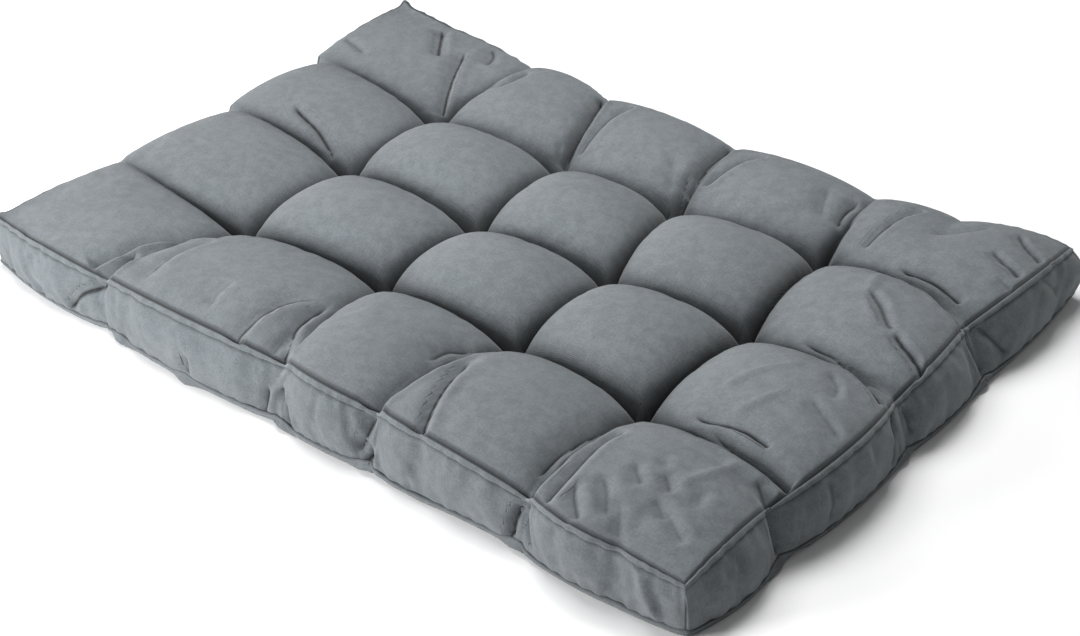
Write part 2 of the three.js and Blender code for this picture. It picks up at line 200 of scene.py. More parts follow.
def panel(u, v, face):
    """One panel over the grid of lines u and v. Creases run from tuft to tuft and arch up between
    them, each pillow is spread between its four creases (the four edges' lines added, less their
    corners), and its crown then rises from all four by (1 - |2t - 1| ^ 2.2) ^ fullness each way.
    A groove follows each crease, and a finer one the seam."""
    net = np.zeros((6, 5, 3))
    iu, iv = np.meshgrid(np.arange(6.0), np.arange(5.0), indexing="ij")
    edge = (iu == 0) | (iu == 5) | (iv == 0) | (iv == 4)
    net[edge] = rim(iu[edge], iv[edge])[0][face]
    net[1:5, 1:4, :2] = TUFTS
    net[1:5, 1:4, 2] = TUFT_HEIGHT[face]
    i, j = np.minimum(4, u.astype(int)), np.minimum(3, v.astype(int))
    a, b = (u - i)[:, None, None], (v - j)[None, :, None]
    rise = np.array([0, 0, CREASE_RISE[face]])
    rows = net[i].swapaxes(0, 1) * (1 - a[:, 0]) + net[i + 1].swapaxes(0, 1) * a[:, 0]
    rows = rows + rise * arch(a[:, 0], 0.6)
    for (line, span), bow in BOWED_ROWS.items():
        rows[line, :, 1] += bow * arch(a[:, 0, 0], 1) * (i == span)
    rows[0], rows[4] = rim(u, 0 * u)[0][face], rim(u, 0 * u + 4)[0][face]
    columns = net[:, j] * (1 - b[0]) + net[:, j + 1] * b[0] + rise * arch(b[0], 0.6)
    for (line, span), bow in BOWED_COLUMNS.items():
        columns[line, :, 0] += bow * arch(b[0, :, 0], 1) * (j == span)
    columns[0], columns[5] = rim(0 * v, v)[0][face], rim(0 * v + 5, v)[0][face]
    I, J = np.meshgrid(i, j, indexing="ij")
    m, n = np.arange(len(u))[:, None], np.arange(len(v))[None]
    P = ((1 - b) * rows[J, m] + b * rows[J + 1, m] + (1 - a) * columns[I, n] + a * columns[I + 1, n]
         - (1 - a) * (1 - b) * net[I, J] - a * (1 - b) * net[I + 1, J]
         - (1 - a) * b * net[I, J + 1] - a * b * net[I + 1, J + 1])

    def full(t, first, last, at_first, at_last):
        """(1 - |2t - 1| ^ 2.2) to a power that differs where a pillow lies on the rim."""
        swing = 2 * t - 1
        power = np.where(swing < 0, np.where(first, at_first, CREASE_FULLNESS),
                         np.where(last, at_last, CREASE_FULLNESS))
        return (1 - np.abs(swing) ** 2.2) ** power

    left, right, front, back = RIM_FULLNESS[face]
    fullness = (full(a[:, 0, 0], i == 0, i == 4, left, right)[:, None]
                * full(b[0, :, 0], j == 0, j == 3, front, back)[None])
    to_side = {"left": P[..., 0] - P[:1, :, 0], "right": P[-1:, :, 0] - P[..., 0],
               "front": P[..., 1] - P[:, :1, 1], "back": P[:, -1:, 1] - P[..., 1]}
    if face == "low":
        P[..., 2] = np.maximum(0, P[..., 2] - LOW_SWELL * fullness)
        for side, axis, way in (("left", 0, -1), ("right", 0, 1), ("front", 1, -1), ("back", 1, 1)):
            in_from_seam = to_side[side] / UNDER_SEAM_WIDTH
            bulge = UNDER_SEAM_BULGE + POCKET_BULGE * pockets(side, P[..., 1 - axis])
            P[..., axis] += way * bulge * UNDER_SEAM_SCALE * in_from_seam * np.exp(-in_from_seam)
        return P, fullness
    saddle = np.array([[
        (crease_middle(face, net, p, q, False) + crease_middle(face, net, p, q + 1, False)
         + crease_middle(face, net, q, p, True) + crease_middle(face, net, q, p + 1, True)) / 2
        - net[p:p + 2, q:q + 2, 2].sum() / 4 for q in range(4)] for p in range(5)])
    P[..., 2] += fullness * (CROWNS - saddle)[I, J]
    from_rim = np.minimum(np.minimum(to_side["left"], to_side["right"]),
                          np.minimum(to_side["front"], to_side["back"]))
    P[..., 2] -= crease_grooves(u, v) * (1 - np.exp(-from_rim / GROOVE_FADE))
    at_seam = np.exp(-((from_rim - SEAM_GROOVE_PLACE) / SEAM_GROOVE_WIDTH) ** 2)
    P[..., 2] -= SEAM_GROOVE_DEPTH * at_seam
    return P, fullness


def crowded(t, evenness):
    """Steps from 0 to 1 moved towards both ends: even steps and a cosine's, mixed by evenness."""
    return evenness * t + (1 - evenness) * (0.5 - 0.5 * np.cos(np.pi * t))


def lines_of(pillows, steps):
    """Grid lines over a row of pillows, closer together by their creases than in their middles."""
    t = crowded(np.linspace(0, 1, steps + 1)[1:], PANEL_EVENNESS)
    return np.concatenate([[0.0], (np.arange(pillows)[:, None] + t).ravel()])


def cushion_grids(steps_u, steps_v, wall_rows):
    """The three cloths as grids of points: top and low over u and v, and wall down from the top
    seam to the bottom one all round, swelling outward as the sine of the way down."""
    u, v = lines_of(5, steps_u), lines_of(4, steps_v)
    (top, fullness), (low, _) = panel(u, v, "top"), panel(u, v, "low")
    m, n = np.arange(len(u)), np.arange(len(v))
    ring = np.concatenate([
        np.stack([m[:-1], 0 * m[:-1]], -1), np.stack([0 * n[:-1] + m[-1], n[:-1]], -1),
        np.stack([m[:0:-1], 0 * m[:0:-1] + n[-1]], -1), np.stack([0 * n[:0:-1], n[:0:-1]], -1)])
    at = tuple(ring.T)
    _, outward, swell = rim(u[at[0]], v[at[1]])
    w = crowded(np.linspace(0, 1, wall_rows + 1)[:, None, None], WALL_EVENNESS)
    wall = top[at] * (1 - w) + low[at] * w
    above_seam = WALL_HEIGHT * (1 - w)
    groove = np.exp(-((above_seam - SEAM_GROOVE_PLACE) / SEAM_GROOVE_WIDTH) ** 2)
    wall = wall + outward * (swell[:, None] * np.sin(np.pi * w).clip(0) ** 0.8
                             - SEAM_GROOVE_DEPTH * groove)
    return {"top": top, "low": low, "wall": wall, "fullness": fullness, "ring": ring,
            "outward": outward, "u": u, "v": v, "w": w[:, 0, 0]}


def closed_bag(grids):
    """Points and faces of the closed bag, and each point's number among the grids' points. The
    bottom panel, which lies flat, takes every second grid line but keeps all points of its seam."""
    nu, nv = grids["top"].shape[:2]
    index = np.arange(nu * nv).reshape(nu, nv)
    low = index + nu * nv
    corners = [index[:-1, :-1], index[1:, :-1], index[1:, 1:], index[:-1, 1:]]
    faces = [np.stack(corners, -1).reshape(-1, 4)]
    cell = np.stack([low[:-1:2, 2::2], low[1::2, 2::2], low[2::2, 2::2], low[2::2, 1::2],
                     low[2::2, :-1:2], low[1::2, :-1:2], low[:-1:2, :-1:2], low[:-1:2, 1::2]], -1)
    kept = np.zeros(cell.shape, bool)
    kept[..., ::2] = True
    kept[:, -1, 1], kept[-1, :, 3], kept[:, 0, 5], kept[0, :, 7] = True, True, True, True
    for pattern in np.unique(kept.reshape(-1, 8), axis=0):
        faces.append(cell[(kept == pattern).all(-1)][:, pattern])
    ring = index[tuple(grids["ring"].T)]
    inner = grids["wall"][1:-1]
    loops = [ring, *(2 * nu * nv + np.arange(inner[..., 0].size).reshape(-1, len(ring))),
             ring + nu * nv]
    for above, under in zip(loops[:-1], loops[1:]):
        faces.append(np.stack([above, under, np.roll(under, -1), np.roll(above, -1)], -1))
    points = np.concatenate([grids[k].reshape(-1, 3) for k in ("top", "low")]
                            + [inner.reshape(-1, 3)])
    used = np.zeros(len(points), bool)
    for group in faces:
        used[group] = True
    renumbered = np.cumsum(used) - 1
    return points[used], [f for group in faces for f in renumbered[group].tolist()], used


def new_mesh(name, points, faces):
    """A smooth mesh object with these points, given in millimetres in the source's frame."""
    mesh = bpy.data.meshes.new(name)
    mesh.from_pydata(((points - MIDDLE) / 1000).tolist(), [], faces)
    mesh.update()
    mesh.shade_smooth()
    piece = bpy.data.objects.new(name, mesh)
    bpy.context.scene.collection.objects.link(piece)
    return piece


# The cloth is cut a little longer than the seams that hold it. Here it starts at its cut size with
# air pressure inside, and the seams, creases and tufts are drawn in to their places, so that it
# puckers between them. The puckers are kept, and the bag's own form stays as it was laid out.
SIM_STEPS = (30, 25, 14)
SIM_FRAMES = 20
SIM_DRAWN_IN = 8
SIM_PRESSURE = 4
SIM_CUT_LONGER = 1.05
SIM_TOP_SHRINK = 0.02
SIM_CREASE_GRIP = 0.7
SIM_FORM_KEPT = 0.8
SIM_TOP_SMOOTHING, SIM_WALL_SMOOTHING = 40, 60
SIM_CAP = 12.0
SIM_TOP_SHARE = 0.4
SIM_WALL_SHARE = 0.5


def settle(grids):
    """How far each point of the grids moves when the cloth is drawn in, in millimetres."""
    points, faces, _ = closed_bag(grids)
    longer = (points - MIDDLE) * [SIM_CUT_LONGER, SIM_CUT_LONGER, 1] + MIDDLE
    piece = new_mesh("settling_cloth", longer, faces)
    nu, nv = grids["top"].shape[:2]
    u, v = np.meshgrid(grids["u"], grids["v"], indexing="ij")
    du, dv = np.abs(u - np.round(u)), np.abs(v - np.round(v))
    held = np.where(np.minimum(du, dv) < 0.02, SIM_CREASE_GRIP, 0)
    held[(du < 0.05) & (dv < 0.05)] = 1
    held[[0, -1]], held[:, [0, -1]] = 1, 1
    in_wall = grids["wall"][1:-1, :, 0].size
    in_low = len(points) - nu * nv - in_wall
    grip = np.concatenate([held.ravel(), np.ones(in_low), np.zeros(in_wall)])
    short = np.concatenate([np.ones(nu * nv + in_low), np.zeros(in_wall)])
    for name, weights in (("grip", grip), ("short", short)):
        group = piece.vertex_groups.new(name=name)
        for weight in np.unique(weights[weights > 0]):
            group.add(np.nonzero(weights == weight)[0].tolist(), float(weight), "REPLACE")
    piece.shape_key_add(name="as_cut")
    sewn = piece.shape_key_add(name="sewn")
    sewn.data.foreach_set("co", ((points - MIDDLE) / 1000).astype(np.float32).ravel())
    for number, share in ((1, 0.0), (SIM_DRAWN_IN, 1.0)):
        sewn.value = share
        sewn.keyframe_insert("value", frame=number)
    cloth = piece.modifiers.new("cloth", "CLOTH")
    settings = cloth.settings
    settings.quality = 5
    settings.mass = 0.3
    settings.tension_stiffness = 15
    settings.compression_stiffness = 15
    settings.shear_stiffness = 5
    settings.bending_stiffness = 0.1
    settings.use_pressure = True
    settings.uniform_pressure_force = SIM_PRESSURE
    settings.effector_weights.gravity = 0
    settings.vertex_group_mass = "grip"
    settings.pin_stiffness = 1
    settings.vertex_group_shrink = "short"
    settings.shrink_max = SIM_TOP_SHRINK
    cloth.collision_settings.use_self_collision = False
    cloth.collision_settings.use_collision = False
    cloth.point_cache.frame_start = 1
    cloth.point_cache.frame_end = SIM_FRAMES
    for number in range(1, SIM_FRAMES + 1):
        bpy.context.scene.frame_set(number)
    still = piece.evaluated_get(bpy.context.evaluated_depsgraph_get()).to_mesh()
    moved = np.empty(len(still.vertices) * 3, np.float32)
    still.vertices.foreach_get("co", moved)
    moved = moved.reshape(-1, 3) * 1000 + MIDDLE - points
    mesh, keys = piece.data, piece.data.shape_keys
    drawing = keys.animation_data.action
    bpy.data.objects.remove(piece)
    bpy.data.meshes.remove(mesh)
    bpy.data.actions.remove(drawing)
    bpy.context.scene.frame_set(1)
    top = moved[:nu * nv].reshape(nu, nv, 3)
    wall = np.zeros_like(grids["wall"])
    wall[1:-1] = moved[-in_wall:].reshape(wall[1:-1].shape)
    return top, wall


def smoothed(values, turns, closed_second):
    """values over a grid, averaged with their neighbours along both directions, many times."""
    for _ in range(turns):
        first = np.concatenate([values[:1], values, values[-1:]])
        values = (first[:-2] + 2 * first[1:-1] + first[2:]) / 4
        if closed_second:
            values = (np.roll(values, 1, 1) + 2 * values + np.roll(values, -1, 1)) / 4
        else:
            second = np.concatenate([values[:, :1], values, values[:, -1:]], 1)
            values = (second[:, :-2] + 2 * second[:, 1:-1] + second[:, 2:]) / 4
    return values


def spread(values, coarse, fine, axis, period=None):
    """Carries values on coarse grid lines to fine ones along one axis, by the cubic through four
    neighbouring lines (Catmull and Rom's weights)."""
    values = np.moveaxis(values, axis, 0)
    count = len(values)
    place = np.interp(fine, coarse, np.arange(len(coarse)))
    k = np.minimum(place.astype(int), len(coarse) - 2)
    t = (place - k)[(...,) + (None,) * (values.ndim - 1)]
    around = [k - 1, k, k + 1, k + 2]
    around = [q % count if period else q.clip(0, count - 1) for q in around]
    p0, p1, p2, p3 = (values[q] for q in around)
    result = 0.5 * (2 * p1 + (p2 - p0) * t + (2 * p0 - 5 * p1 + 4 * p2 - p3) * t ** 2
                    + (3 * p1 - p0 - 3 * p2 + p3) * t ** 3)
    return np.moveaxis(result, 0, axis)


RING_PILLOWS = 18.0


def ring_places(grids):
    """How far round each point of the ring is, counted in pillows from the front left corner."""
    u, v = grids["u"], grids["v"]
    return np.concatenate([u[:-1], 5 + v[:-1], 9 + 5 - u[:0:-1], 14 + 4 - v[:0:-1]])


def puckers(fine):
    """The settled cloth's puckers on the fine grids: its moves less most of their smooth part. The
    full pillows show few of them, and the wall more in some stretches than in others."""
    coarse = cushion_grids(*SIM_STEPS)
    top, wall = settle(coarse)
    inner = coarse["fullness"][..., None] ** 0.5
    top -= SIM_FORM_KEPT * smoothed(top, SIM_TOP_SMOOTHING, False) * inner
    inner = np.sin(np.pi * coarse["w"]).clip(0)[:, None, None] ** 0.5
    wall -= SIM_FORM_KEPT * smoothed(wall, SIM_WALL_SMOOTHING, True) * inner
    for moves in (top, wall):
        size = np.linalg.norm(moves, axis=-1, keepdims=True)
        moves *= SIM_CAP * np.tanh(size / SIM_CAP) / np.maximum(size, 1e-9)
    top = spread(spread(top, coarse["u"], fine["u"], 0), coarse["v"], fine["v"], 1)
    around = np.append(ring_places(coarse), RING_PILLOWS)
    wall = spread(wall, around, ring_places(fine), 1, period=True)
    slow = np.sin(5.1 * ring_places(fine)) * np.sin(2.3 * ring_places(fine) + 1)
    wall *= SIM_WALL_SHARE * (1 + 0.5 * slow)[:, None]
    top *= SIM_TOP_SHARE * (0.3 + 0.7 * fine["fullness"])[..., None]
    return top, spread(wall, coarse["w"], fine["w"], 0)


# The larger folds, given one by one: on the top, the front and the right end as they are seen, and
# on the hidden back and left end in the same manner. Each is a curve through its points on the
# cloth: x and y on the top panel, and on a wall the place along x or y, and the way down. depth is
# how far the cloth falls in, or stands out where it is negative. left and right are the widths on
# the two sides of the way the points run, and fade_in and fade_out the lengths over which it ends.
FOLD_COLUMNS = "depth left right fade_in fade_out points".split()
FOLDS = {"top": [
    # front row of pillows, from its left end
    (3, 4, 7, 8, 25, [(-530, -402), (-507, -399), (-474, -390)]),
    (14, 4, 13, 35, 4, [(-288, -250), (-340, -282), (-366, -324), (-375, -362), (-388, -400)]),
    (13, 4, 9, 25, 4, [(-365, -344), (-349, -369), (-348, -402)]),
    (6, 5, 10, 20, 35, [(-290, -266), (-298, -320), (-287, -398)]),
    (5, 4, 6, 15, 15, [(-181, -328), (-177, -360), (-165, -394)]),
    (8, 5, 14, 60, 3, [(-68, -272), (-97, -312), (-103, -355), (-101, -403)]),
    (9, 5, 12, 40, 3, [(-63, -263), (-60, -325), (-47, -358), (-27, -392)]),
    (6, 4, 8, 20, 8, [(-56, -347), (-48, -391)]),
    (8, 6, 16, 20, 20, [(143, -222), (122, -252), (120, -296)]),
    (12, 5, 16, 25, 3, [(146, -228), (143, -295), (142, -350), (134, -400)]),
    (4, 8, 14, 20, 20, [(160, -240), (184, -310)]),
    (11, 4, 10, 25, 4, [(168, -266), (192, -338), (215, -396)]),
    (9, 6, 18, 25, 20, [(365, -223), (362, -310), (365, -372)]),
    (10, 4, 10, 25, 3, [(377, -324), (377, -394)]),
    (8, 4, 9, 20, 10, [(395, -244), (392, -290), (404, -352), (407, -403)]),
    (7, 6, 12, 20, 6, [(417, -356), (429, -377), (457, -403)]),
    (5.5, 6, 10, 20, 14, [(432, -336), (456, -354), (482, -386)]),
    (5, 5, 9, 14, 6, [(470, -352), (486, -368), (507, -396)]),
    (5, 6, 9, 14, 10, [(523, -336), (543, -348), (572, -363)]),
    (5.5, 6, 8, 10, 10, [(452, -300), (468, -315), (485, -326)]),
    (5.5, 6, 8, 10, 10, [(488, -294), (504, -306), (515, -318)]),
    (5, 6, 8, 10, 10, [(503, -334), (519, -339), (534, -350)]),
    (4, 6, 8, 10, 10, [(464, -267), (486, -287)]),
    (4, 6, 8, 10, 10, [(539, -285), (550, -320)]),
    (-4, 5, 6, 15, 15, [(512, -302), (526, -257), (535, -214)]),
    # right end, from the front
    (9, 6, 4, 20, 8, [(435, -177), (500, -174), (537, -180), (552, -184)]),
    (15, 8, 5, 30, 3, [(470, -188), (522, -200), (551, -205), (600, -214)]),
    (7, 10, 5, 10, 3, [(564, -227), (592, -247)]),
    (-4, 5, 5, 15, 15, [(442, -129), (451, -91), (473, -58), (493, -34)]),
    (-4, 5, 5, 15, 15, [(485, -161), (500, -119), (513, -94)]),
    (5, 5, 8, 20, 15, [(535, -90), (608, -128)]),
    (11, 6, 4, 35, 3, [(438, 20), (473, 20), (508, 13), (558, -9), (598, -31)]),
    (6, 4, 5, 10, 6, [(517, 16), (542, 3), (562, -9)]),
    (5, 5, 7, 12, 12, [(520, -30), (548, -52), (560, -78)]),
    (9, 4, 7, 12, 4, [(539, 78), (564, 65), (582, 58), (604, 46)]),
    (7, 5, 8, 15, 10, [(463, 137), (496, 114), (527, 85), (539, 86)]),
    (-4, 5, 6, 15, 10, [(446, 196), (470, 130), (500, 92), (540, 76)]),
    (10, 5, 4, 20, 8, [(453, 218), (500, 217), (536, 207), (560, 198)]),
    (12, 6, 4, 20, 3, [(485, 190), (517, 193), (549, 176), (590, 158)]),
    (5, 4, 6, 10, 6, [(569, 260), (597, 254)]),
    (7, 4, 6, 12, 4, [(535, 304), (555, 294), (590, 282)]),
    (7, 4, 7, 12, 4, [(536, 368), (560, 344), (594, 328)]),
    (5, 6, 6, 12, 12, [(452, 300), (480, 330), (500, 366)]),
    # back row of pillows, from its right end
    (8, 4, 8, 8, 12, [(408, 350), (394, 305), (390, 234)]),
    (9, 6, 12, 20, 15, [(323, 330), (321, 295), (330, 261)]),
    (9, 5, 8, 15, 5, [(338, 295), (341, 250), (348, 214)]),
    (5, 9, 12, 25, 25, [(271, 329), (307, 255)]),
    (7, 4, 7, 10, 10, [(160, 342), (140, 310), (129, 239)]),
    (14, 5, 10, 12, 8, [(93, 348), (97, 298), (113, 225)]),
    (7, 5, 9, 15, 5, [(92, 257), (120, 194)]),
    (4, 8, 10, 25, 15, [(53, 279), (97, 204)]),
    (7, 5, 8, 8, 15, [(-83, 350), (-83, 290), (-69, 207)]),
    (15, 5, 8, 6, 10, [(-141, 345), (-110, 270), (-88, 193)]),
    (5, 4, 6, 10, 5, [(-113, 222), (-89, 184)]),
    (6, 5, 6, 10, 20, [(-316, 198), (-309, 230), (-289, 293)]),
    (6, 5, 6, 15, 10, [(-285, 265), (-274, 300), (-273, 336)]),
    (15, 5, 13, 25, 5, [(-404, 334), (-372, 276), (-325, 198)]),
    (13, 6, 9, 12, 20, [(-486, 368), (-446, 320), (-420, 290)]),
    (7, 9, 8, 8, 14, [(-382, 370), (-360, 348), (-352, 318)]),
    # left end, from the back
    (5, 5, 4, 8, 12, [(-574, 245), (-511, 225)]),
    (3, 4, 4, 8, 8, [(-491, 54), (-465, 51)]),
    (9, 5, 6, 20, 10, [(-473, 41), (-404, 25), (-353, 5)]),
    (2.5, 4, 5, 8, 8, [(-515, -119), (-486, -120)]),
    (3, 4, 4, 20, 20, [(-264, -191), (-213, -191), (-149, -180)])
], "front": [
    (3.5, 5, 6, 6, 10, [(-496, -64), (-475, -43), (-453, -29)]),
    (10, 4, 12, 4, 10, [(-350, -3), (-372, -20), (-398, -36), (-426, -66)]),
    (4, 4, 5, 8, 2, [(-292, -36), (-284, -56)]),
    (9, 4, 7, 14, 3, [(-177, -33), (-179, -64)]),
    (8, 5, 9, 14, 2, [(-45, -29), (-46, -68)]),
    (-5, 5, 6, 6, 6, [(-26, -6), (-31, -35), (-44, -70)]),
    (11, 4, 9, 10, 2, [(-25, -28), (-6, -46), (4, -67)]),
    (9, 4, 9, 4, 8, [(133, -6), (128, -30), (118, -60)]),
    (13, 4, 9, 10, 2, [(129, -38), (134, -55), (130, -70)]),
    (4, 4, 5, 5, 2, [(198, -50), (200, -66)]),
    (3.5, 4, 5, 6, 4, [(209, -28), (209, -48)]),
    (9, 5, 5, 8, 5, [(366, -14), (359, -38), (353, -70)]),
    (11, 4, 8, 4, 3, [(377, -6), (377, -28), (393, -54)]),
    (2.5, 5, 6, 10, 10, [(428, -32), (438, -56)]),
    (2.5, 5, 6, 10, 8, [(501, -37), (506, -60)]),
    (-3, 4, 5, 3, 8, [(516, -5), (508, -38)]),
    (4, 8, 12, 8, 12, [(527, -6), (538, -36), (549, -64)]),
    (-5, 4, 12, 3, 5, [(540, -2), (558, -28), (570, -60)]),
    (4, 6, 6, 10, 10, [(606, -12), (609, -52)])
], "right": [
    (3, 6, 6, 10, 10, [(-342, -6), (-345, -34)]),
    (9, 10, 3, 3, 8, [(-250, -1), (-250, -30), (-247, -64)]),
    (6, 6, 6, 10, 10, [(-165, -6), (-165, -38), (-168, -60)]),
    (3, 5, 6, 8, 12, [(-83, -6), (-88, -38)]),
    (8, 6, 5, 5, 10, [(-16, -4), (-26, -26), (-40, -64)]),
    (6, 6, 6, 8, 10, [(8, -8), (15, -56)]),
    (9, 10, 3, 3, 6, [(166, -1), (162, -18), (175, -66)]),
    (7, 7, 7, 8, 6, [(187, -6), (225, -58)]),
    (5, 6, 6, 8, 12, [(303, -2), (348, -38)])
], "back": [
    (4, 5, 6, 8, 10, [(-430, -20), (-424, -58)]),
    (9, 6, 8, 3, 8, [(-292, -2), (-287, -34), (-299, -66)]),
    (4, 6, 5, 8, 8, [(-214, -24), (-222, -62)]),
    (9, 8, 5, 3, 8, [(-137, -2), (-142, -30), (-128, -64)]),
    (4, 6, 5, 8, 10, [(-30, -14), (-38, -50)]),
    (9, 5, 8, 3, 8, [(100, -2), (105, -36), (95, -66)]),
    (4, 5, 7, 8, 10, [(206, -20), (215, -56)]),
    (9, 7, 6, 3, 8, [(330, -2), (322, -30), (335, -64)]),
    (4, 6, 6, 8, 8, [(470, -10), (462, -52)])
], "left": [
    (4, 5, 6, 8, 8, [(-310, -18), (-301, -56)]),
    (9, 6, 8, 3, 8, [(-194, -2), (-189, -34), (-202, -66)]),
    (4, 6, 5, 8, 10, [(-92, -16), (-99, -54)]),
    (9, 8, 5, 3, 8, [(6, -2), (1, -30), (13, -64)]),
    (4, 5, 6, 8, 8, [(104, -22), (112, -58)]),
    (9, 5, 8, 3, 8, [(188, -2), (193, -36), (183, -66)]),
    (4, 6, 5, 8, 8, [(296, -12), (290, -50)])
]}
FOLD_LIP, FOLD_LIP_PLACE, FOLD_LIP_WIDTH = 0.22, 2.5, 1.2
FOLD_STEPS = 6
FOLD_REACH = 5
LINE_LEAST, LINE_DEPTH = 4, 6
LINE_REACH, LINE_SPREAD, LINE_EDGE = 6, 14, 5
LINE_GAP, LINE_GAP_EDGE = 12, 8
FAR_OFF = 60.0
# CREASE_LINE, LINE_FADE and RIM_FADE set the line along each crease, which is both a painted dark
# line and a groove in the bump; SEAM_LINE is the width of the shade painted by the seams, and the
# SHADED_ numbers set the shade painted along the creases, widest and darkest by the tufts.
CREASE_LINE, LINE_FADE, RIM_FADE = 0.6, 80, 110
STITCH_PLACE, STITCH_LINE = 5.0, 0.3
SEAM_LINE = 2.0
SHADED_CREASE, SHADED_WIDTH, SHADED_PIT = 0.72, 9, 8


def fold(places, depth, left, right, fade_in, fade_out, points):
    """How far in one fold draws the cloth at each place, how far to the side of its line the place
    is, and how strong the line is there. The curve runs through the points by cubics, and the depth
    falls off as exp(-(distance / width) ^ 1.3) on both its sides. On the narrower side the cloth
    rolls up in a low lip, two and a half widths away."""
    points = np.array(points, float)
    spans = len(points) - 1
    fine = np.linspace(0, spans, spans * FOLD_STEPS + 1)
    curve = spread(points, np.arange(spans + 1.0), fine, 0)
    start, step = curve[:-1], np.diff(curve, axis=0)
    length = np.linalg.norm(step, axis=1)
    away, side, run = np.full(len(places), 1e9), np.zeros(len(places)), np.zeros(len(places))
    for k in range(len(step)):
        gap = places - start[k]
        t = (gap @ step[k] / length[k] ** 2).clip(0, 1)
        off = np.linalg.norm(gap - t[:, None] * step[k], axis=1)
        closer = off < away
        away = np.where(closer, off, away)
        side = np.where(closer, step[k, 0] * gap[:, 1] - step[k, 1] * gap[:, 0], side)
        run = np.where(closer, length[:k].sum() + t * length[k], run)
    width = np.where(side > 0, left, right)
    ends = np.minimum(run / fade_in, (length.sum() - run) / fade_out).clip(0, 1)
    ends = ends * ends * (3 - 2 * ends)
    drop = np.exp(-(away / width) ** 1.3)
    if depth > 0 and left != right:
        from_lip = (away / width - FOLD_LIP_PLACE) / FOLD_LIP_WIDTH
        drop -= FOLD_LIP * (width == min(left, right)) * np.exp(-from_lip ** 2)
    offset = away * np.sign(side)
    strength = min(1, max(0, depth - LINE_LEAST) / LINE_DEPTH) * ends
    return depth * drop * ends, offset, close_by(offset, strength)


def stronger(lines, others):
    """Of two sets of lines, each an offset and a strength at every place, the one that shows more
    there. About halfway between two lines neither shows, so that no offset passes nought there."""
    (offset, strength), (beside, hold) = lines, others
    shown = strength * np.exp(-np.abs(offset) / LINE_REACH)
    shows = hold * np.exp(-np.abs(beside) / LINE_REACH)
    apart = np.abs(np.abs(offset) - np.abs(beside))
    between = (offset * beside < 0) * (5 * np.minimum(strength, hold)).clip(0, 1)
    clear = 1 - between * (1 - ((apart - LINE_GAP) / LINE_GAP_EDGE).clip(0, 1))
    better = shows > shown
    return np.where(better, beside, offset), np.where(better, hold, strength) * clear


def folded(places, rows):
    """The sum of one panel's folds at all its places, with the offset and the strength of the line
    that shows most at each."""
    flat = places.reshape(-1, 2)
    total = np.zeros(len(flat))
    offset, strength = np.full(len(flat), FAR_OFF), np.zeros(len(flat))
    for row in (dict(zip(FOLD_COLUMNS, values)) for values in rows):
        around = np.array(row["points"], float)
        reach = FOLD_REACH * max(row["left"], row["right"])
        near = ((flat > around.min(0) - reach) & (flat < around.max(0) + reach)).all(1)
        near = np.nonzero(near)[0]
        drop, beside, hold = fold(flat[near], **row)
        total[near] += drop
        offset[near], strength[near] = stronger((offset[near], strength[near]), (beside, hold))
    shape = places.shape[:-1]
    return total.reshape(shape), (offset.reshape(shape), strength.reshape(shape))


def close_by(offset, strength):
    """The strength of a line near it: all of it within 9 mm, and none past 14 mm."""
    return strength * ((LINE_SPREAD - np.abs(offset)) / LINE_EDGE).clip(0, 1)


def by_creases(bag):
    """For the creases across the cushion and then those along it, how far each point of the top
    lies from the nearest one, with its side as the sign, and how far along that from a tuft."""
    u, v = bag["u"][:, None], bag["v"][None]
    for count, line, size, other, other_size in ((5, u, PILLOW_LENGTH, v, PILLOW_WIDTH),
                                                 (4, v, PILLOW_WIDTH, u, PILLOW_LENGTH)):
        inside = (line > 0.5) & (line < count - 0.5)
        yield (np.where(inside, (line - np.round(line)) * size, FAR_OFF),
               np.abs(other - np.round(other)) * other_size)


def crease_lines(bag):
    """Offset from the nearest crease and the strength of its line, painted dark and grooved in the
    bump, most by the tufts.
    """
    lines = []
    for offset, along in by_creases(bag):
        hold = CREASE_LINE + (1 - CREASE_LINE) * np.exp(-(along / LINE_FADE) ** 2)
        lines.append(np.broadcast_arrays(offset, close_by(offset, hold)))
    return stronger(*lines)


def from_seam(bag):
    """Roughly how far each point of the top panel lies from its seam, by the counts of pillows."""
    u, v = bag["u"][:, None], bag["v"][None]
    return np.minimum(np.minimum(u, 5 - u) * PILLOW_LENGTH, np.minimum(v, 4 - v) * PILLOW_WIDTH)


